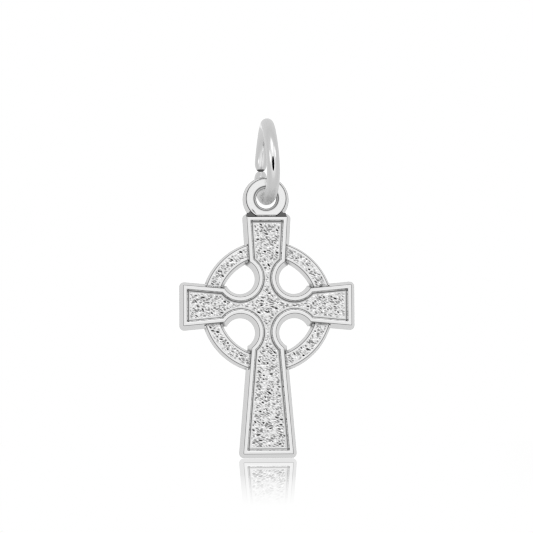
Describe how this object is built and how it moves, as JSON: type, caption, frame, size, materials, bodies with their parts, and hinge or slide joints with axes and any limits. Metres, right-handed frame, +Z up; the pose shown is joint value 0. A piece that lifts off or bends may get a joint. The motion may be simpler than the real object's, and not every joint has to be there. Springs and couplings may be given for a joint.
{
  "type": "celtic cross pendant",
  "caption": "Cast silver celtic cross charm with a sunk stippled face, a pierced ring behind its arms and an eyelet, hung from a split jump ring.",
  "frame": {"origin": "inside top of the jump ring, where the chain passes through it", "axes": "+Z up towards the chain, -Y the way the cross's face looks, +X to the right as one looks at the face"},
  "size_m": [0.0122, 0.006, 0.0236],
  "materials": {
    "cast_silver": "polished cast sterling silver with a stippled sunk face",
    "wire_silver": "polished sterling silver wire"
  },
  "bodies": {
    "ring": {"jump_ring": "wire_silver"},
    "pendant": {"celtic_cross": "cast_silver"}
  },
  "joints": [
    {"name": "pendant_swing", "type": "hinge", "parent": "ring", "child": "pendant", "pos_m": [0, 0, -0.0047], "axis": [0, 1, 0], "range_deg": [-120, 120]}
  ]
}
